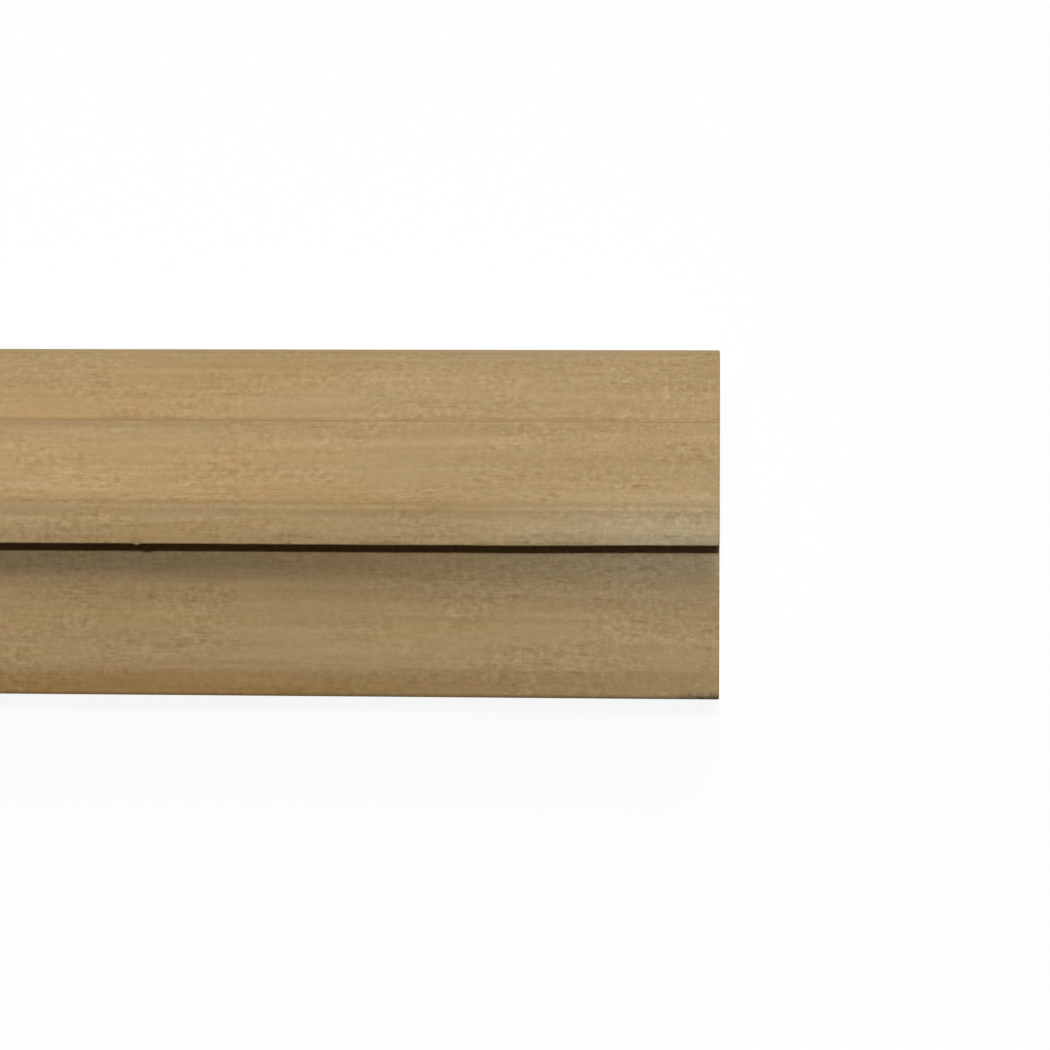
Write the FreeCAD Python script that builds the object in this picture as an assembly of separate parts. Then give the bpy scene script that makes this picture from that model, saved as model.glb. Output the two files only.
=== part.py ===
import FreeCAD, Part

import math
import os

# A back band moulding: one length of solid hardwood with a constant milled section.
# It lies on its long plain edge, as it would on a bench, so the milled profile faces up.
#
# Row frame, in millimetres:
#   X runs along the length,
#   Y runs across the profile, from the wall face (-Y) to the crown of the bead (+Y),
#   Z is up, from the plain edge that it lies on (Z = 0) to the nose of the lip.
# The origin is the middle of the box's footprint, at the bottom of the box.
#
# The section, walking round it from the corner where the wall face meets the plain edge:
#   wall face      narrow flat that is nailed against the wall,
#   rabbet face    the long step that laps the outer edge of the casing,
#   lip underside  the ledge that covers the casing's face,
#   nose           shallow convex front of the lip,
#   cove           hollow quarter that rises from the nose, with a straight raked flank,
#   listel         narrow flat between the cove and the bead,
#   bead           nearly half-round moulding along the far edge,
#   plain edge     the long flat side.

# Length of the stock: eight feet.
LENGTH = 2438.4

# Widths across the profile, along Y, starting at the wall face.
RABBET_WIDTH = 12.85
LIP_THICKNESS = 3.2
COVE_HEIGHT = 6.3

# How far the lip stands out over the rabbet face, along Z.
LIP_PROJECTION = 4.75

# The nose is an arc whose highest point lies this far from the lip's underside.
NOSE_RADIUS = 5.85
NOSE_CROWN_OFFSET = 1.3

# The cove is an arc that runs into a straight flank. The flank leans from the Y direction,
# and the floor of the cove still slopes a little where it meets the nose.
COVE_RADIUS = 4.33
COVE_FLANK_LEAN_DEG = 17.6
COVE_FLOOR_SLOPE_DEG = 5.6

# Flat between the top of the cove's flank and the foot of the bead, along Z.
LISTEL_WIDTH = 2.2

# The bead's centre lies below the listel, and the plain edge trims a sliver off its round.
BEAD_RADIUS = 6.0
BEAD_CENTRE_DROP = 0.55
BEAD_EDGE_TRIM = 0.2

# Every outer corner is eased a little by sanding. The inner corners stay as the knives leave them.
ARRIS_RADIUS = 0.2

NODE = "back_band"


def section_points():
    """Corners of the section, and a point on each of its arcs, as (y, z) from the wall face's foot."""
    lean = math.radians(COVE_FLANK_LEAN_DEG)
    slope = math.radians(COVE_FLOOR_SLOPE_DEG)

    lip_top_y = RABBET_WIDTH + LIP_THICKNESS
    listel_y = lip_top_y + COVE_HEIGHT

    # The bead stands on the listel and runs over its crown down to the plain edge.
    bead_centre_y = listel_y - BEAD_CENTRE_DROP
    bead_centre_z = BEAD_RADIUS - BEAD_EDGE_TRIM
    bead_foot_z = bead_centre_z + math.sqrt(BEAD_RADIUS**2 - BEAD_CENTRE_DROP**2)
    bead_heel_y = bead_centre_y + math.sqrt(BEAD_RADIUS**2 - bead_centre_z**2)

    # The cove, from the listel outwards: the straight flank, then the arc down to the nose.
    flank_drop = COVE_HEIGHT - COVE_RADIUS * (math.cos(slope) - math.sin(lean))
    listel_edge_z = bead_foot_z + LISTEL_WIDTH
    flank_foot_y = listel_y - flank_drop
    flank_foot_z = listel_edge_z + flank_drop * math.tan(lean)
    cove_centre_y = flank_foot_y + COVE_RADIUS * math.sin(lean)
    cove_centre_z = flank_foot_z + COVE_RADIUS * math.cos(lean)
    cove_end_z = cove_centre_z - COVE_RADIUS * math.sin(slope)
    middle = (math.pi / 2 - slope + lean) / 2

    # The nose, from the cove's end over its crown to the lip's underside.
    above_crown = LIP_THICKNESS - NOSE_CROWN_OFFSET
    nose_centre_z = cove_end_z - math.sqrt(NOSE_RADIUS**2 - above_crown**2)
    nose_foot_z = nose_centre_z + math.sqrt(NOSE_RADIUS**2 - NOSE_CROWN_OFFSET**2)
    nose_crown_z = nose_centre_z + NOSE_RADIUS

    rabbet_z = nose_crown_z - LIP_PROJECTION
    return {
        "wall_heel": (0.0, 0.0),
        "wall_edge": (0.0, rabbet_z),
        "rabbet_corner": (RABBET_WIDTH, rabbet_z),
        "lip_edge": (RABBET_WIDTH, nose_foot_z),
        "nose_crown": (RABBET_WIDTH + NOSE_CROWN_OFFSET, nose_crown_z),
        "cove_end": (lip_top_y, cove_end_z),
        "cove_middle": (
            cove_centre_y - COVE_RADIUS * math.sin(middle),
            cove_centre_z - COVE_RADIUS * math.cos(middle),
        ),
        "flank_foot": (flank_foot_y, flank_foot_z),
        "listel_edge": (listel_y, listel_edge_z),
        "bead_foot": (listel_y, bead_foot_z),
        "bead_crown": (bead_centre_y + BEAD_RADIUS, bead_centre_z),
        "bead_heel": (bead_heel_y, 0.0),
    }


# Each stretch of the outline: its two ends, and the point that its arc passes through, if it is one.
OUTLINE = (
    ("wall_heel", "wall_edge", None),
    ("wall_edge", "rabbet_corner", None),
    ("rabbet_corner", "lip_edge", None),
    ("lip_edge", "cove_end", "nose_crown"),
    ("cove_end", "flank_foot", "cove_middle"),
    ("flank_foot", "listel_edge", None),
    ("listel_edge", "bead_foot", None),
    ("bead_foot", "bead_heel", "bead_crown"),
    ("bead_heel", "wall_heel", None),
)


def sharp_section():
    """The section as a face at the left end of the stock, centred across the profile."""
    points = section_points()
    half_width = points["bead_crown"][0] / 2
    corner = {
        name: FreeCAD.Vector(-LENGTH / 2, y - half_width, z) for name, (y, z) in points.items()
    }
    edges = []
    for start, end, through in OUTLINE:
        if through is None:
            edges.append(Part.makeLine(corner[start], corner[end]))
        else:
            edges.append(Part.Arc(corner[start], corner[through], corner[end]).toShape())
    return Part.Face(Part.Wire(edges))


def eased_section():
    """The section drawn in and let out again, which rounds its outer corners and keeps its inner ones."""
    return sharp_section().makeOffset2D(-ARRIS_RADIUS).makeOffset2D(ARRIS_RADIUS)


def make_back_band():
    """The stock as one solid: the eased section drawn out along X, cut square at both ends."""
    return eased_section().extrude(FreeCAD.Vector(LENGTH, 0, 0))


def main():
    os.makedirs("parts", exist_ok=True)
    shape = make_back_band()
    shape.exportStep(f"parts/{NODE}.step")
    box = shape.BoundBox
    print(f"{NODE}: {shape.ShapeType}, valid {shape.isValid()}, {shape.Volume / 1000:.1f} cm3")
    print(f"box {box.XLength:.2f} x {box.YLength:.2f} x {box.ZLength:.2f} mm")
    for name, (y, z) in section_points().items():
        print(f"  {name}: y {y:.3f}, z {z:.3f}")


main()
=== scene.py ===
import math

import bmesh
import bpy
from mathutils import Matrix, Vector, noise


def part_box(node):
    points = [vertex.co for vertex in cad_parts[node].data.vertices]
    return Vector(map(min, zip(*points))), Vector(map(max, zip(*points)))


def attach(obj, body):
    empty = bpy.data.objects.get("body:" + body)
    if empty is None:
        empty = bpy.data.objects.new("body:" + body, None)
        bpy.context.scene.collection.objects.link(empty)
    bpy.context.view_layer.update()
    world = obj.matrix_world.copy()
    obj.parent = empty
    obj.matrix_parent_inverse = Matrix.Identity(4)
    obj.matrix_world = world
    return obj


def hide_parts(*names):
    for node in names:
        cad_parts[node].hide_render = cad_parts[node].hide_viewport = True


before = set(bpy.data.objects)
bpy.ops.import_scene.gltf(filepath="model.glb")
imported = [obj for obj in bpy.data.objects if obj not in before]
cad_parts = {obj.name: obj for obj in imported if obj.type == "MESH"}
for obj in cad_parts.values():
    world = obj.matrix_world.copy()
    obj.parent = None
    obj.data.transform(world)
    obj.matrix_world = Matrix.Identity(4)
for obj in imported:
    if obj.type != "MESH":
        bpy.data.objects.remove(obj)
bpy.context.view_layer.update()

# A length of raw hardwood back band, lying on its long plain edge under soft light from the bead's
# side. Sizes are in millimetres where nothing else is said. The section is worked out as (y, z) in
# the row frame, and the mesh is made in metres.

MM = 0.001
NODE = "back_band"
LENGTH = 2438.4

# The section, from the wall face (y = 0) to the bead, and from the plain edge (z = 0) up.
RABBET_WIDTH = 12.85
LIP_THICKNESS = 3.2
COVE_HEIGHT = 6.3
LIP_PROJECTION = 4.75
NOSE_RADIUS = 5.85
NOSE_CROWN_OFFSET = 1.3
COVE_RADIUS = 4.33
COVE_FLANK_LEAN = math.radians(17.6)
COVE_FLOOR_SLOPE = math.radians(5.6)
LISTEL_WIDTH = 2.2
BEAD_RADIUS = 6.0
BEAD_CENTRE_DROP = 0.55
BEAD_EDGE_TRIM = 0.2
ARRIS_RADIUS = 0.2

# The corners that are eased by another amount, by the stretch that starts there: the lip's edge is
# crisper, and the wall edge is worn round.
OTHER_RADII = {"lip_underside": 0.14, "wall_face": 0.42}

# The least turn, in radians, that is a corner to ease.
LEAST_CORNER = 0.1

# How finely the outline is divided, and the width of the narrow strip that flats have at each end.
FLAT_STEP = 1.1
ARC_STEP = 0.36
ARRIS_STEPS = 4
EDGE_STRIP = 0.05


class Stretch:
    """One stretch of the outline: a line, or an arc about a centre. The wood lies on its left."""

    def __init__(self, name, start, end, centre=None):
        self.name = name
        self.start = Vector(start)
        self.end = Vector(end)
        self.is_arc = centre is not None
        if not self.is_arc:
            self.length = (self.end - self.start).length
            return
        self.centre = Vector(centre)
        self.radius = (self.start - self.centre).length
        first, last = (math.atan2(*(tip - self.centre).yx) for tip in (self.start, self.end))
        turn = (last - first) % math.tau
        self.first = first
        self.turn = turn if turn < math.pi else turn - math.tau
        self.length = abs(self.turn) * self.radius

    def point(self, along):
        """The point that lies this far along the stretch."""
        if not self.is_arc:
            return self.start.lerp(self.end, along / self.length)
        angle = self.first + self.turn * along / self.length
        return self.centre + self.radius * Vector((math.cos(angle), math.sin(angle)))

    def heading(self, along):
        """The direction of travel there."""
        if not self.is_arc:
            return (self.end - self.start).normalized()
        angle = self.first + self.turn * along / self.length
        return math.copysign(1.0, self.turn) * Vector((-math.sin(angle), math.cos(angle)))


def section_stretches():
    """The section's outline, counter-clockwise from the corner of the wall face and the plain edge."""
    lip_top_y = RABBET_WIDTH + LIP_THICKNESS
    listel_y = lip_top_y + COVE_HEIGHT
    bead_centre = (listel_y - BEAD_CENTRE_DROP, BEAD_RADIUS - BEAD_EDGE_TRIM)
    bead_foot_z = bead_centre[1] + math.sqrt(BEAD_RADIUS**2 - BEAD_CENTRE_DROP**2)
    bead_heel_y = bead_centre[0] + math.sqrt(BEAD_RADIUS**2 - bead_centre[1] ** 2)

    flank_drop = COVE_HEIGHT - COVE_RADIUS * (math.cos(COVE_FLOOR_SLOPE) - math.sin(COVE_FLANK_LEAN))
    listel_edge_z = bead_foot_z + LISTEL_WIDTH
    flank_foot = (listel_y - flank_drop, listel_edge_z + flank_drop * math.tan(COVE_FLANK_LEAN))
    cove_centre = (
        flank_foot[0] + COVE_RADIUS * math.sin(COVE_FLANK_LEAN),
        flank_foot[1] + COVE_RADIUS * math.cos(COVE_FLANK_LEAN),
    )
    cove_end_z = cove_centre[1] - COVE_RADIUS * math.sin(COVE_FLOOR_SLOPE)
    above_crown = LIP_THICKNESS - NOSE_CROWN_OFFSET
    nose_centre = (
        RABBET_WIDTH + NOSE_CROWN_OFFSET,
        cove_end_z - math.sqrt(NOSE_RADIUS**2 - above_crown**2),
    )
    nose_foot_z = nose_centre[1] + math.sqrt(NOSE_RADIUS**2 - NOSE_CROWN_OFFSET**2)
    rabbet_z = nose_centre[1] + NOSE_RADIUS - LIP_PROJECTION

    half_width = (bead_centre[0] + BEAD_RADIUS) / 2
    wall_heel = (0, 0)
    bead_heel = (bead_heel_y, 0)
    bead_foot = (listel_y, bead_foot_z)
    listel_edge = (listel_y, listel_edge_z)
    cove_end = (lip_top_y, cove_end_z)
    lip_edge = (RABBET_WIDTH, nose_foot_z)
    rabbet_corner = (RABBET_WIDTH, rabbet_z)
    wall_edge = (0, rabbet_z)
    chain = (
        ("plain_edge", wall_heel, bead_heel, None),
        ("bead", bead_heel, bead_foot, bead_centre),
        ("listel", bead_foot, listel_edge, None),
        ("flank", listel_edge, flank_foot, None),
        ("cove", flank_foot, cove_end, cove_centre),
        ("nose", cove_end, lip_edge, nose_centre),
        ("lip_underside", lip_edge, rabbet_corner, None),
        ("rabbet_face", rabbet_corner, wall_edge, None),
        ("wall_face", wall_edge, wall_heel, None),
    )

    def centred(point):
        return None if point is None else (point[0] - half_width, point[1])

    return [Stretch(name, *map(centred, points)) for name, *points in chain]


def turn_between(before, after):
    """How far the outline turns left at the corner between two stretches, as it does at outer ones."""
    return -before.heading(before.length).angle_signed(after.heading(0.0))


def corner_radius(after):
    """The radius of the eased corner that a stretch starts from."""
    return OTHER_RADII.get(after.name, ARRIS_RADIUS)


def corner_trims(stretches):
    """How much of each stretch the eased corner at its start takes away."""
    trims = []
    for i, after in enumerate(stretches):
        turn = turn_between(stretches[i - 1], after)
        trims.append(corner_radius(after) * math.tan(turn / 2) if turn > LEAST_CORNER else 0.0)
    return trims


def eased_corner(before, after, trim):
    """Points round the eased corner between two stretches, without the two where it meets them."""
    first = before.point(before.length - trim)
    heading = before.heading(before.length - trim)
    inward = Vector((-heading.y, heading.x))
    radius = corner_radius(after)
    centre = first + radius * inward
    turn = turn_between(before, after)
    points = []
    for step in range(1, ARRIS_STEPS):
        normal = Matrix.Rotation(turn * step / ARRIS_STEPS, 2) @ -inward
        points.append((centre + radius * normal, normal, f"arris_{after.name}"))
    return points


def steps_along(stretch, low, high):
    """Where along a stretch its points go: evenly, and for a line with a narrow strip at each end."""
    if stretch.is_arc:
        count = max(2, round((high - low) / ARC_STEP))
        return [low + (high - low) * i / count for i in range(count + 1)]
    count = max(1, round((high - low) / FLAT_STEP))
    inner_low, inner_high = low + EDGE_STRIP, high - EDGE_STRIP
    inner = [inner_low + (inner_high - inner_low) * i / count for i in range(count + 1)]
    return [low, *inner, high]


def section_outline():
    """Points of the eased outline, each as (point, outward normal, name of its stretch)."""
    stretches = section_stretches()
    trims = corner_trims(stretches)
    outline = []
    for i, stretch in enumerate(stretches):
        steps = steps_along(stretch, trims[i], stretch.length - trims[(i + 1) % len(stretches)])
        if trims[i] > 0:
            outline += eased_corner(stretches[i - 1], stretch, trims[i])
        else:
            # The stretch before ends at this corner, and has its point already.
            steps = steps[1:]
        for along in steps:
            heading = stretch.heading(along)
            outline.append((stretch.point(along), Vector((heading.y, -heading.x)), stretch.name))
    return outline


# Where the stations along the stock stand. They are close together at the end that the camera sees,
# and draw together again towards the far end, where no step is over a share of what is left.
FINE_LENGTH = 62.0
FINE_STEP = 0.21
STEP_GROWTH = 1.07
COARSE_STEP = 12.0
FAR_END_STEP = 1.5
FAR_END_SHARE = 0.25

# The rims of the sawn ends are eased by this much.
END_EASE = 0.1

# The finished surface lies this far inside the true section, and wear goes deeper. The lip's edge
# waves a little about that depth.
SKIN_DEPTH = 0.018
ARRIS_WEAR = 0.05
LIP_WAVE = 0.06
LIP_WAVE_MIDDLE = 0.35
LIP_SHORT_SHARE = 0.3

# Wear and waves follow noise along the stock, of which there are many rows. The lip's long and short
# waves and the arrises' short ones are given as (wavelength, row). The row of an arris's long wave is
# the length of its name.
LIP_LONG_WAVE = (8.0, 1)
LIP_SHORT_WAVE = (1.3, 2)
ARRIS_LONG_WAVELENGTH = 5.0
ARRIS_SHORT_WAVE = (0.8, 3)
ROW_GAP = 7.3
ROW_PLANE = 1.7

# The lip's underside is rubbed back towards the near end. The nose above it follows for this reach,
# up to this Y.
RUB_DEPTH = 0.09
RUB_LENGTH = 18.0
RUB_TO_Y = -0.3
RUB_REACH = 0.5

# The near end is cut a hair out of square: the bead's side is this much shorter than the wall's.
CUT_SLANT = 0.056

# A fibre stands out sideways from the lip's edge.
SPLINTER_FROM_END = 46.25
SPLINTER_WIDTH = 0.22
SPLINTER_HEIGHT = 0.125


def stations(low, high):
    """X of each ring of points, from the far end to the end that the camera sees."""
    found = [high, high - END_EASE]
    step = FINE_STEP
    while found[-1] - step > low + END_EASE:
        found.append(found[-1] - step)
        if high - found[-1] > FINE_LENGTH:
            far_enough = max(FAR_END_STEP, (found[-1] - low) * FAR_END_SHARE)
            step = min(step * STEP_GROWTH, COARSE_STEP, far_enough)
    return [low, low + END_EASE, *reversed(found)]


def wander(along, wavelength, row):
    """Smooth noise between 0 and 1 along the stock. Each row has its own."""
    return 0.5 + 0.5 * noise.noise(Vector((along / wavelength, ROW_GAP * row, ROW_PLANE)))


def relief(name, normal, from_end):
    """How deep the finished surface lies under the true section."""
    depth = SKIN_DEPTH
    if name.startswith("arris"):
        wear = ARRIS_WEAR * wander(from_end, ARRIS_LONG_WAVELENGTH, len(name))
        depth += wear * wander(from_end, *ARRIS_SHORT_WAVE)
    if name in ("lip_underside", "arris_lip_underside"):
        wave = wander(from_end, *LIP_LONG_WAVE) + LIP_SHORT_SHARE * wander(from_end, *LIP_SHORT_WAVE)
        wave -= (1 + LIP_SHORT_SHARE) * LIP_WAVE_MIDDLE
        depth = max(0.0, depth + LIP_WAVE * wave)
        swell = math.exp(-(((from_end - SPLINTER_FROM_END) / SPLINTER_WIDTH) ** 2))
        depth -= SPLINTER_HEIGHT * swell * max(0.0, -normal.x) ** 2
    return depth


def rub(name, y, from_end):
    """How far a point by the lip's edge is rubbed back, along Y."""
    if name not in ("nose", "arris_lip_underside", "lip_underside"):
        return 0.0
    share = min(1.0, max(0.0, (RUB_TO_Y - y) / RUB_REACH))
    return RUB_DEPTH * share * max(0.0, 1 - from_end / RUB_LENGTH)


def ring_points(outline, wall_y, bead_y, x, low, high):
    """The outline's points at one station, in metres. The outline lies between the two Ys."""
    from_end = high - x
    # Each end has two rings: its rim, and where the rim's ease begins. The slant moves the near two.
    is_rim = min(x - low, from_end) < END_EASE / 2
    slant = CUT_SLANT if from_end < 1.5 * END_EASE else 0.0
    points = []
    for point, normal, name in outline:
        depth = relief(name, normal, from_end) + (END_EASE if is_rim else 0.0)
        sunk = point - depth * normal
        cut = slant * (point.x - wall_y) / (bead_y - wall_y)
        points.append(Vector((x - cut, sunk.x + rub(name, point.x, from_end), sunk.y)) * MM)
    return points


# A map for the patterns to be drawn on. It is a square, with places for the stretches of the stock
# and for its two ends, as (left, bottom, width, height) in pixels. The end that the camera sees has
# the largest place, and sides that face down are squeezed.
MAP_NAME = "OFBake"
MAP_PIXELS = 1024
NEAR_PLACE = (4, 464, 740, 556)
MIDDLE_PLACE = (4, 234, 1016, 222)
FAR_PLACE = (4, 4, 1016, 222)
NEAR_END_PLACE = (752, 742, 268, 278)
FAR_END_PLACE = (752, 464, 268, 270)
DOWNWARD_SHARE = 0.35
DOWNWARD_NORMAL = -0.01


def shares_round(outline):
    """How far round the map each point of the outline lies, from 0 to 1 where the outline closes."""
    shares = [0.0]
    for (before, _, _), (after, normal, _) in zip(outline, [*outline[1:], outline[0]]):
        weight = DOWNWARD_SHARE if normal.y < DOWNWARD_NORMAL else 1.0
        shares.append(shares[-1] + weight * (after - before).length)
    return [share / shares[-1] for share in shares]


def map_strips(xs):
    """The runs of stations that share a place on the map, as (first, last, place)."""
    near = next(i for i, x in enumerate(xs) if xs[-1] - x <= FINE_LENGTH)
    halfway = (xs[0] + xs[near]) / 2
    middle = min(range(near), key=lambda i: abs(xs[i] - halfway))
    return [(0, middle, FAR_PLACE), (middle, near, MIDDLE_PLACE), (near, len(xs) - 1, NEAR_PLACE)]


def on_map(place, across, up):
    """The point of the map that lies these shares, from 0 to 1, across and up a place."""
    left, bottom, width, height = place
    return (left + width * across) / MAP_PIXELS, (bottom + height * up) / MAP_PIXELS


def add_sides(bm, layer, rings, xs, shares):
    """The quads between the rings, each with its place on the map."""
    for first, last, place in map_strips(xs):
        spread = xs[last] - xs[first]
        for number in range(first, last):
            ring, after = rings[number], rings[number + 1]
            low, high = ((xs[n] - xs[first]) / spread for n in (number, number + 1))
            for i in range(len(ring)):
                side = bm.faces.new((ring[i - 1], ring[i], after[i], after[i - 1]))
                side.smooth = True
                # The first side is the one that closes the outline, so it has the last shares.
                start, end = (shares[i - 1], shares[i]) if i else shares[-2:]
                corners = ((low, start), (low, end), (high, end), (high, start))
                for loop, corner in zip(side.loops, corners):
                    loop[layer].uv = on_map(place, *corner)


def add_end(bm, layer, ring, place):
    """A sawn end, as triangles, drawn flat on the map."""
    end = bm.faces.new(ring)
    end.material_index = 1
    lows, highs = ([pick(v.co[axis] for v in ring) for axis in (1, 2)] for pick in (min, max))
    for loop in end.loops:
        shares = ((loop.vert.co[i + 1] - lows[i]) / (highs[i] - lows[i]) for i in (0, 1))
        loop[layer].uv = on_map(place, *shares)
    end.normal_update()
    bmesh.ops.triangulate(bm, faces=[end])


# Faces that meet at a greater angle than this, in degrees, are shaded with a sharp edge.
SHARP_ANGLE = 35


def make_stock(materials):
    """The whole length as one closed mesh: the ringed sides, and a sawn face at each end."""
    lowest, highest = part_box(NODE)
    low, high = lowest.x / MM + SKIN_DEPTH, highest.x / MM - SKIN_DEPTH
    outline = section_outline()
    wall_y, bead_y = (pick(point.x for point, _, _ in outline) for pick in (min, max))
    xs = stations(low, high)
    bm = bmesh.new()
    layer = bm.loops.layers.uv.new(MAP_NAME)
    rings = []
    for x in xs:
        points = ring_points(outline, wall_y, bead_y, x, low, high)
        rings.append([bm.verts.new(point) for point in points])
    add_sides(bm, layer, rings, xs, shares_round(outline))
    add_end(bm, layer, rings[0][::-1], FAR_END_PLACE)
    add_end(bm, layer, rings[-1], NEAR_END_PLACE)
    mesh = bpy.data.meshes.new("back_band_stock")
    bm.to_mesh(mesh)
    bm.free()
    mesh.set_sharp_from_angle(angle=math.radians(SHARP_ANGLE))
    for material in materials:
        mesh.materials.append(material)
    stock = bpy.data.objects.new("back_band_stock", mesh)
    bpy.context.scene.collection.objects.link(stock)
    return stock


class Shader:
    """Adds nodes to a node tree. A socket is given a value, or another node's output."""

    def __init__(self, tree):
        self.tree = tree
        tree.nodes.clear()

    def add(self, kind, settings=None, **sockets):
        """A node of this kind. Its sockets go by name, with _ for a space, or by number as i0, i1."""
        made = self.tree.nodes.new(kind)
        for name, value in (settings or {}).items():
            setattr(made, name, value)
        for name, value in sockets.items():
            key = int(name[1:]) if name[1:].isdigit() else name.replace("_", " ")
            self.set(made.inputs[key], value)
        return made

    def set(self, socket, value):
        if isinstance(value, bpy.types.NodeSocket):
            self.tree.links.new(value, socket)
        else:
            socket.default_value = value

    def math(self, operation, *values, clamp=False):
        made = self.add("ShaderNodeMath", {"operation": operation, "use_clamp": clamp})
        for socket, value in zip(made.inputs, values):
            self.set(socket, value)
        return made.outputs[0]

    def vector(self, operation, *values):
        made = self.add("ShaderNodeVectorMath", {"operation": operation})
        for socket, value in zip(made.inputs, values):
            self.set(socket, value)
        return made.outputs[0]

    def scale(self, vector, factor):
        made = self.add("ShaderNodeVectorMath", {"operation": "SCALE"}, i0=vector, Scale=factor)
        return made.outputs["Vector"]

    def length(self, vector):
        return self.add("ShaderNodeVectorMath", {"operation": "LENGTH"}, i0=vector).outputs["Value"]

    def parts(self, vector):
        """The X, Y and Z of a vector."""
        return self.add("ShaderNodeSeparateXYZ", Vector=vector).outputs

    def noise(self, place, period, detail=2.0, roughness=0.5):
        """Noise from 0 to 1 whose features are about a period long along each axis."""
        scaled = self.vector("DIVIDE", place, period)
        made = self.add(
            "ShaderNodeTexNoise", Vector=scaled, Scale=1.0, Detail=detail, Roughness=roughness
        )
        return made.outputs[0]

    def wave(self, place, period, detail=2.0, roughness=0.5):
        """The same noise about 0."""
        return self.math("SUBTRACT", self.noise(place, period, detail, roughness), 0.5)

    def ramp(self, value, low, high, to_low=0.0, to_high=1.0):
        """The value mapped smoothly from one range to another."""
        made = self.add(
            "ShaderNodeMapRange",
            {"interpolation_type": "SMOOTHSTEP"},
            Value=value,
            From_Min=low,
            From_Max=high,
            To_Min=to_low,
            To_Max=to_high,
        )
        return made.outputs[0]

    def near(self, value, middle, reach):
        """1 where the value is at the middle, falling smoothly to 0 at this reach from it."""
        off = self.math("ABSOLUTE", self.math("SUBTRACT", value, middle))
        return self.ramp(off, reach, 0.0)

    def add_share(self, value, pattern, strength):
        return self.math("ADD", value, self.math("MULTIPLY", pattern, strength))

    def mix(self, factor, a, b):
        return self.add("ShaderNodeMix", {"data_type": "RGBA"}, Factor=factor, i6=a, i7=b).outputs[2]


# Colours of the raw wood, as linear values, and of painted light and shade on it: the pale one is
# painted light round the lip, the last is painted shade along the wall edge, and the brown serves both
# the heart streak and the painted shade at the rabbet's foot.
GOLDEN = (0.428, 0.290, 0.132, 1)
GREYISH = (0.411, 0.289, 0.144, 1)
BROWN = (0.312, 0.183, 0.062, 1)
LIP_LIGHT = (0.452, 0.355, 0.212, 1)
EDGE_SHADE = (0.110, 0.080, 0.045, 1)

# Periods here are of noise, along each axis. Ranges are given as ramp() takes them.

# How much the grain, which lightens and darkens the wood, acts on red, green and blue, and how much
# a faint blush does.
GRAIN_TONE = (0.85, 1.0, 1.4)
BLUSH_TONE = (0.09, -0.05, 0.0)
BLUSH_PERIOD = (1.5, 1.1, 1.1)

# The grain wanders this far, over these distances along and across the stock.
DRIFT_PERIOD = (90, 30, 30)
DRIFT = (0, 2.4, 2.4)

# The growth rings run about a pith far below the wall face, at (y, z), and wave. Late wood fills the
# last part of a ring, less of it the greater the sharpness.
PITH = (-38, -52)
RING_WIDTH = 2.7
RING_WAVE = 1.6
RING_WAVE_PERIOD = (160, 9, 9)
FACE_RING_SHARPNESS = 3.0
END_RING_SHARPNESS = 2.2

# How grey the wood is comes from patches, from wider areas, and from how near the end is.
GREY_PATCHES = 0.6
GREY_PATCH_PERIOD = (26, 3.2, 3.2)
GREY_AREAS = 0.4
GREY_AREA_PERIOD = (300, 8, 8)
GREY_END = 0.12
GREY_END_LENGTH = 45
GREY_RANGE = (0.34, 0.68)

# A brown heart streak runs along the wall edge. Its middle lies at (y, z), and it pales at the end.
HEART = (-15.2, 15.6)
HEART_FLATNESS = 0.55
HEART_INNER = 2.2
HEART_OUTER = 5.2
HEART_WAVE = 1.6
HEART_WAVE_PERIOD = (60, 2, 2)
HEART_STRENGTH = 0.95
HEART_END_SHARE = 0.12
HEART_FADE = (-10.0, 50.0)

# A greyish patch of painted light lies round the lip at the near end.
PATCH_LENGTH = 26.0
PATCH_Y = -0.6
PATCH_REACH = 5.2

# The foot of the rabbet, in the lip's shade, is painted browner and darker as shade, over this reach
# about its middle. Up the lip's underside the painted shade fades out over the last part below this
# height.
FOOT_Y = -1.55
FOOT_REACH = 0.9
FOOT_TOP = 17.5
FOOT_FADE = 1.5
FOOT_STRENGTH = 0.6

# Bands along the faces that are lighter or darker, as (middle Y, reach, at the near end, farther
# off). Some are painted light and shade: painted shade in the crease at the bead's foot, painted
# highlights on the listel's face and along the crest line, and painted light and shade under the lip,
# where its shadow falls on the rabbet. A band fades out over its reach, and changes from its one
# strength to its other between these distances from the end.
BANDS = {
    "bead_side": (12.6, 3.0, -0.11, -0.11),
    "bead_foot": (8.3, 0.5, -0.01, -0.12),
    "bead_crease_shade": (8.52, 0.26, -0.17, -0.09),
    "listel_face_highlight": (8.45, 0.05, 0.12, 0.05),
    "listel": (7.1, 1.2, 0.06, 0.0),
    "flank": (4.3, 2.4, -0.14, -0.01),
    "crest": (1.75, 0.9, -0.17, -0.20),
    "crest_highlight": (1.88, 0.22, 0.14, 0.0),
    "lip_shadow": (-3.0, 2.2, 0.12, -0.19),
    "outer_rabbet": (-9.8, 2.6, 0.07, 0.01),
    "wall_edge": (-13.8, 0.5, 0.0, 0.22),
}
BANDS_TURN = (6.0, 50.0)

# The wood pales from the heart side to the sap side, between these Ys.
SAP_FROM = -7.0
SAP_TO = 1.0
SAP_GAIN = 1.10

# The wall edge is painted darker, as shade on its rounded arris that faces away from the light, at
# this Y and height, and more so towards the near end.
EDGE_Y = -13.9
EDGE_Z = 14.1
EDGE_DEPTH = 0.5
EDGE_REACH = 0.26
EDGE_RANGE = (26, 2, 0.04, 0.8)

# At the near corner it is darker still, in blotches.
CORNER_REACH = 0.98
CORNER_RANGE = (4.4, 2)
CORNER_BLOTCH = (0.42, 0.3, 0.3)
CORNER_BLOTCH_RANGE = (0.36, 0.60, 0.45, 1.2)

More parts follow.
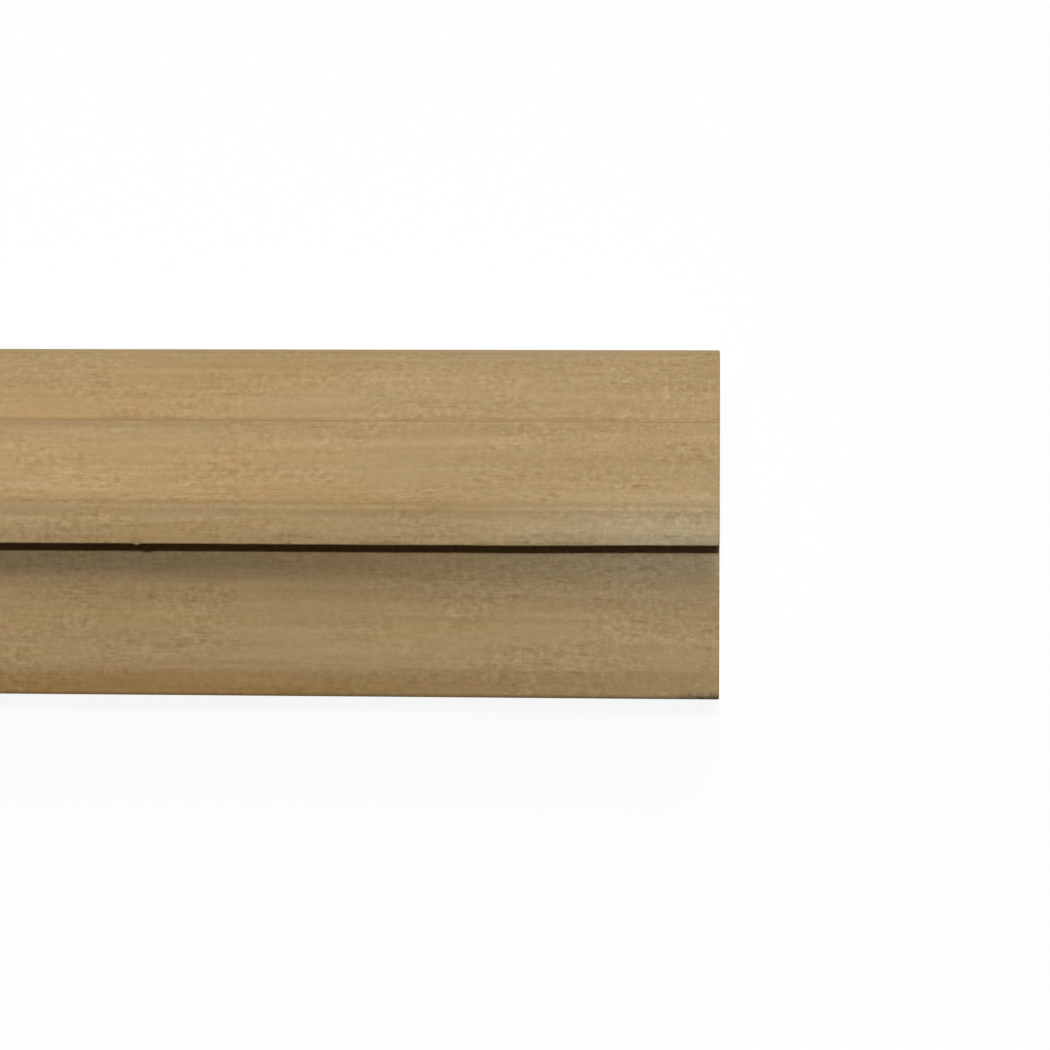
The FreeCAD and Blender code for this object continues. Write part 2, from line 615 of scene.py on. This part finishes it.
# Patterns of the long grain: the period, the octaves of finer detail on it, and how much it lightens
# and darkens the wood.
BROAD_PATTERNS = {
    "clouds": ((24, 3.4, 3.4), 2.0, 0.20),
    "streaks": ((90, 0.8, 0.8), 3.0, 0.27),
    "threads": ((14, 0.5, 0.5), 2.0, 0.24),
    "mottle": ((5, 2.0, 2.0), 2.0, 0.08),
}
FINE_PATTERNS = {
    "blots": ((0.50, 0.50, 0.50), 1.0, 0.45),
    "fibres": ((1.2, 0.22, 0.22), 2.0, 0.34),
}
PATTERN_ROUGHNESS = 0.6

# The fine ones are stronger in some patches than in others, and weaker across towards the bead.
FINE_PATCH_PERIOD = (7, 2.6, 2.6)
FINE_PATCH_RANGE = (0.35, 0.65, 0.5, 1.4)
FINE_ACROSS_RANGE = (-2.0, 9.0, 1.06, 0.91)

# Patterns of spots: the period, the octaves, and the levels where a spot begins and where it is full.
SPOTS = {
    "pores": ((1.1, 0.09, 0.09), 1, 0.60, 0.72),
    "flecks": ((0.16, 0.6, 0.6), 1, 0.60, 0.74),
    "fleck_patches": ((6, 1.6, 1.6), 1, 0.50, 0.68),
    "painted_glints": ((0.24, 0.2, 0.2), 0, 0.60, 0.78),
    "end_pores": ((4, 0.16, 0.16), 1, 0.56, 0.70),
}
LATE_WOOD = -0.07
PORES = -0.13
FLECKS = 0.18

# The glints are painted highlights: bright, and fading out away from the near end.
PAINTED_GLINTS_RANGE = (24.0, 3.0, 0.0, 0.17)

# How strong the relief of the surfaces is, how deep, and how dull they are.
PLANED_RELIEF = (0.4, 0.02)
PLANED_ROUGHNESS = 0.75
SAWN_RELIEF = (0.6, 0.04)
SAWN_ROUGHNESS = 0.85
SHEEN = 0.15


def new_material(name):
    """An empty material, and the shader that adds to it."""
    material = bpy.data.materials.new(name)
    material.use_nodes = True
    return material, Shader(material.node_tree)


def wood_places(shader):
    """Where each point of the wood lies, in millimetres: as it is, and with the grain's wander in it."""
    place = shader.scale(shader.add("ShaderNodeTexCoord").outputs["Object"], 1 / MM)
    scaled = shader.vector("DIVIDE", place, DRIFT_PERIOD)
    drift = shader.add("ShaderNodeTexNoise", Vector=scaled, Scale=1.0, Detail=1.0).outputs["Color"]
    shift = shader.vector("MULTIPLY", shader.vector("SUBTRACT", drift, (0.5, 0.5, 0.5)), DRIFT)
    return place, shader.vector("ADD", place, shift)


def from_near_end(shader, place):
    """How far each point lies from the end that the camera sees."""
    return shader.math("SUBTRACT", LENGTH / 2, shader.parts(place)["X"])


def across_rings(shader, grain):
    """The way from the pith, square to the stock."""
    return shader.vector("SUBTRACT", shader.vector("MULTIPLY", grain, (0, 1, 1)), (0, *PITH))


def late_wood(shader, grain, sharpness):
    """0 where a year's ring begins, rising to 1 where it ends."""
    count = shader.math("DIVIDE", shader.length(across_rings(shader, grain)), RING_WIDTH)
    count = shader.add_share(count, shader.noise(grain, RING_WAVE_PERIOD), RING_WAVE)
    return shader.math("POWER", shader.math("FRACT", count), sharpness)


def wood_hue(shader, grain, from_end):
    """Golden wood, greyish in patches and towards the near end, with the brown heart streak."""
    greyness = shader.math("MULTIPLY", shader.noise(grain, GREY_PATCH_PERIOD), GREY_PATCHES)
    greyness = shader.add_share(greyness, shader.noise(grain, GREY_AREA_PERIOD), GREY_AREAS)
    greyness = shader.add_share(greyness, shader.ramp(from_end, GREY_END_LENGTH, 0), GREY_END)
    colour = shader.mix(shader.ramp(greyness, *GREY_RANGE), GOLDEN, GREYISH)
    from_heart = shader.vector("SUBTRACT", grain, (0, *HEART))
    from_heart = shader.length(shader.vector("MULTIPLY", from_heart, (0, 1, HEART_FLATNESS)))
    from_heart = shader.add_share(from_heart, shader.noise(grain, HEART_WAVE_PERIOD), HEART_WAVE)
    heart = shader.ramp(from_heart, HEART_OUTER, HEART_INNER)
    fade = shader.ramp(from_end, *HEART_FADE, HEART_END_SHARE * HEART_STRENGTH, HEART_STRENGTH)
    return shader.mix(shader.math("MULTIPLY", heart, fade), colour, BROWN)


def painted_lip_light(shader, y, from_end, colour):
    """The colour with the greyish patch of painted light round the lip on it."""
    along = shader.ramp(from_end, PATCH_LENGTH, 0)
    patch = shader.math("MULTIPLY", along, shader.near(y, PATCH_Y, PATCH_REACH))
    return shader.mix(patch, colour, LIP_LIGHT)


def painted_foot_shade(shader, place, colour):
    """The colour with the painted shade, a browner strip at the foot of the rabbet, on it."""
    _, y, z = shader.parts(place)
    below_lip = shader.ramp(z, FOOT_TOP, FOOT_TOP - FOOT_FADE, 0.0, FOOT_STRENGTH)
    foot = shader.math("MULTIPLY", shader.near(y, FOOT_Y, FOOT_REACH), below_lip)
    return shader.mix(foot, colour, BROWN)


def painted_edge_shade(shader, place, from_end, colour):
    """The colour with the painted shade along the wall edge, darker in blotches at its near corner, on
    it.
    """
    _, y, z = shader.parts(place)
    edge = shader.ramp(from_end, *EDGE_RANGE)
    edge = shader.math("MULTIPLY", shader.near(y, EDGE_Y, EDGE_REACH), edge)
    corner = shader.ramp(from_end, *CORNER_RANGE)
    corner = shader.math("MULTIPLY", shader.near(y, EDGE_Y, CORNER_REACH), corner)
    blotches = shader.ramp(shader.noise(place, CORNER_BLOTCH, 1), *CORNER_BLOTCH_RANGE)
    corner = shader.math("MULTIPLY", corner, blotches, clamp=True)
    edge_dark = shader.math("MAXIMUM", edge, corner)
    edge_dark = shader.math("MULTIPLY", edge_dark, shader.near(z, EDGE_Z, EDGE_DEPTH))
    return shader.mix(edge_dark, colour, EDGE_SHADE)


def face_shade(shader, y, from_end):
    """How light the faces are, about 1, from the heart side to the sap side and in bands. Some bands
    are painted light and shade.
    """
    shade = shader.ramp(y, SAP_FROM, SAP_TO, 1.0, SAP_GAIN)
    for middle, reach, at_end, farther in BANDS.values():
        strength = shader.ramp(from_end, *BANDS_TURN, at_end, farther)
        shade = shader.add_share(shade, shader.near(y, middle, reach), strength)
    return shade


def add_patterns(shader, value, grain, patterns):
    """The value with these patterns of the grain on it."""
    for period, detail, strength in patterns.values():
        wave = shader.wave(grain, period, detail, PATTERN_ROUGHNESS)
        value = shader.add_share(value, wave, strength)
    return value


def spots(shader, place, name):
    """1 on the spots of this pattern and 0 between them."""
    period, detail, begins, full = SPOTS[name]
    return shader.ramp(shader.noise(place, period, detail), begins, full)


def long_grain(shader, place, grain, from_end):
    """How much the grain and the painted glints lighten the milled faces, about 0, and the fibres'
    height.
    """
    value = shader.math("MULTIPLY", late_wood(shader, grain, FACE_RING_SHARPNESS), LATE_WOOD)
    value = add_patterns(shader, value, grain, BROAD_PATTERNS)
    fine = add_patterns(shader, 0.0, grain, FINE_PATTERNS)
    fine = shader.add_share(fine, spots(shader, grain, "pores"), PORES)
    strength = shader.ramp(shader.noise(place, FINE_PATCH_PERIOD, 1), *FINE_PATCH_RANGE)
    across = shader.ramp(shader.parts(place)["Y"], *FINE_ACROSS_RANGE)
    value = shader.add_share(value, fine, shader.math("MULTIPLY", strength, across))
    flecks = [spots(shader, place, name) for name in ("flecks", "fleck_patches")]
    value = shader.add_share(value, shader.math("MULTIPLY", *flecks), FLECKS)
    # Painted highlights: bright glints towards the near end.
    painted_glints = spots(shader, place, "painted_glints")
    value = shader.add_share(value, painted_glints, shader.ramp(from_end, *PAINTED_GLINTS_RANGE))
    return value, fine


def toned(shader, colour, pattern, tone):
    """The colour with a pattern about 0 on it, which acts on its channels in these shares."""
    factors = shader.vector("ADD", shader.scale(tone, pattern), (1, 1, 1))
    return shader.vector("MULTIPLY", colour, factors)


def finish_wood(shader, colour, height, relief_scale, roughness):
    """Ends the material as a dull surface of this colour, with relief of this strength and depth."""
    strength, depth = relief_scale
    bump = shader.add("ShaderNodeBump", Strength=strength, Distance=depth * MM, Height=height)
    surface = shader.add(
        "ShaderNodeBsdfPrincipled",
        Base_Color=colour,
        Roughness=roughness,
        Specular_IOR_Level=SHEEN,
        Normal=bump.outputs[0],
    )
    shader.add("ShaderNodeOutputMaterial", Surface=surface.outputs[0])


def planed_wood():
    """Raw hardwood as the moulder's knives and a light sanding leave it."""
    material, shader = new_material("planed_hardwood")
    place, grain = wood_places(shader)
    from_end = from_near_end(shader, place)
    y = shader.parts(place)["Y"]
    colour = painted_lip_light(shader, y, from_end, wood_hue(shader, grain, from_end))
    colour = painted_foot_shade(shader, place, colour)
    colour = shader.scale(colour, face_shade(shader, y, from_end))
    colour = toned(shader, colour, shader.wave(place, BLUSH_PERIOD, 1), BLUSH_TONE)
    value, height = long_grain(shader, place, grain, from_end)
    colour = painted_edge_shade(shader, place, from_end, toned(shader, colour, value, GRAIN_TONE))
    finish_wood(shader, colour, height, PLANED_RELIEF, PLANED_ROUGHNESS)
    return material


# The sawn ends: how light they are, and what the rings, rays, pores and saw marks add.
END_LEVEL = 0.90
END_RINGS = -0.24
END_RAYS = 0.30
END_PORES = -0.30
END_SCORES = 0.22

# The rays' noise lies in (hundredths of a radian round the pith, millimetres from it), and the saw
# marks' along the axes.
RAY_TURNS = 100.0
RAY_PERIOD = (0.22, 5.0, 1.0)
RAY_ROUGHNESS = 0.6
SCORE_PERIOD = (1.0, 0.3, 24)
SCORE_ROUGHNESS = 0.7


def sawn_end():
    """End grain from a fine saw: darker, with the rings cut across, and scored by the teeth."""
    material, shader = new_material("sawn_end_grain")
    place, grain = wood_places(shader)
    across = across_rings(shader, grain)
    _, y, z = shader.parts(across)
    turn = shader.math("MULTIPLY", shader.math("ARCTAN2", y, z), RAY_TURNS)
    polar = shader.add("ShaderNodeCombineXYZ", X=turn, Y=shader.length(across)).outputs[0]
    rays = shader.wave(polar, RAY_PERIOD, roughness=RAY_ROUGHNESS)
    pores = spots(shader, place, "end_pores")
    scores = shader.wave(place, SCORE_PERIOD, roughness=SCORE_ROUGHNESS)
    value = shader.add_share(END_LEVEL, late_wood(shader, grain, END_RING_SHARPNESS), END_RINGS)
    for pattern, strength in ((rays, END_RAYS), (pores, END_PORES), (scores, END_SCORES)):
        value = shader.add_share(value, pattern, strength)
    colour = shader.scale(wood_hue(shader, grain, from_near_end(shader, place)), value)
    finish_wood(shader, colour, scores, SAWN_RELIEF, SAWN_ROUGHNESS)
    return material


# The floor is a wide square, its size in metres, a hair under the wood. Where it is seen, a share of
# it is lit and shows the shadow, and the rest shines evenly white.
FLOOR_SIZE = 60.0
FLOOR_DEPTH = 0.02
FLOOR_GREY = (0.75, 0.75, 0.75, 1)
FLOOR_SHARE_LIT = 0.14
FLOOR_WHITE = 1.06
WHITE = (1, 1, 1, 1)


def background_rays(shader):
    """1 for the rays that show the background: from the camera, and mirrored or seen through."""
    rays = shader.add("ShaderNodeLightPath").outputs
    mirrored = shader.math("MAXIMUM", rays["Is Glossy Ray"], rays["Is Transmission Ray"])
    return shader.math("MAXIMUM", rays["Is Camera Ray"], mirrored)


def pale_floor():
    """White where it is seen, with the object's shadow on it kept faint."""
    material, shader = new_material("pale_floor")
    lit = shader.add("ShaderNodeBsdfDiffuse", Color=FLOOR_GREY).outputs[0]
    white = shader.add("ShaderNodeEmission", Color=WHITE, Strength=FLOOR_WHITE).outputs[0]
    share = shader.math("MULTIPLY", background_rays(shader), 1 - FLOOR_SHARE_LIT)
    mixed = shader.add("ShaderNodeMixShader", Fac=share, i1=lit, i2=white)
    shader.add("ShaderNodeOutputMaterial", Surface=mixed.outputs[0])
    return material


def make_floor():
    bpy.ops.mesh.primitive_plane_add(size=FLOOR_SIZE, location=(0, 0, -FLOOR_DEPTH * MM))
    floor = bpy.context.object
    floor.name = "floor"
    floor.data.materials.append(pale_floor())


# How strong the even light from all round is.
AMBIENT = 0.012


def set_world():
    """White behind everything, and a little even light from all round."""
    world = bpy.data.worlds.new("studio")
    world.use_nodes = True
    bpy.context.scene.world = world
    shader = Shader(world.node_tree)
    strength = shader.math("ADD", shader.math("MULTIPLY", background_rays(shader), 1 - AMBIENT), AMBIENT)
    background = shader.add("ShaderNodeBackground", Color=WHITE, Strength=strength)
    shader.add("ShaderNodeOutputWorld", Surface=background.outputs[0])


# The lights are far and even. Each leans from straight overhead towards the bead's side, and is given
# as (lean and spread in degrees, strength, colour).
SUNS = {
    "key": (13.45, 1.8, 0.430 * math.pi, (0.97, 1.0, 1.05)),
    "soft_box": (39.8, 31.5, 0.440 * math.pi, (1.03, 1.0, 0.95)),
    "low_side": (70.9, 12, 0.090 * math.pi, (1.04, 1.0, 0.95)),
}


def add_lights():
    for name, (lean, spread, strength, colour) in SUNS.items():
        light = bpy.data.lights.new(name, "SUN")
        light.energy = strength
        light.color = colour
        light.angle = math.radians(spread)
        lamp = bpy.data.objects.new(name, light)
        lamp.matrix_world = Matrix.Rotation(math.radians(-lean), 4, "X")
        bpy.context.scene.collection.objects.link(lamp)


# The camera stands over the near end, a quarter of a metre above the wood, and looks almost straight
# down. Its turns are in degrees, and its clip in metres.
CAMERA_FROM_END = -0.724
CAMERA_Y = 24.88
CAMERA_Z = 270.87
CAMERA_TILT = -5.486
CAMERA_YAW = 3.326
CAMERA_ROLL = -0.023
CAMERA_CLIP = 0.01

# The sensor's width, and the picture's width and the focal length in pixels.
SENSOR = 36.0
FRAME_PIXELS = 1050
FOCAL_PIXELS = 3217.6


def add_camera():
    data = bpy.data.cameras.new("camera")
    data.sensor_width = SENSOR
    data.lens = SENSOR * FOCAL_PIXELS / FRAME_PIXELS
    data.clip_start = CAMERA_CLIP
    camera = bpy.data.objects.new("camera", data)
    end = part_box(NODE)[1].x
    place = Vector((end + CAMERA_FROM_END * MM, CAMERA_Y * MM, CAMERA_Z * MM))
    turn = (
        Matrix.Rotation(math.radians(CAMERA_YAW), 4, "Y")
        @ Matrix.Rotation(math.radians(CAMERA_TILT), 4, "X")
        @ Matrix.Rotation(math.radians(CAMERA_ROLL), 4, "Z")
    )
    camera.matrix_world = Matrix.Translation(place) @ turn
    bpy.context.scene.collection.objects.link(camera)
    bpy.context.scene.camera = camera


def main():
    stock = make_stock([planed_wood(), sawn_end()])
    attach(stock, "root")
    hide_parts(NODE)
    make_floor()
    set_world()
    add_lights()
    add_camera()
    bpy.context.scene.view_settings.view_transform = "Standard"


main()
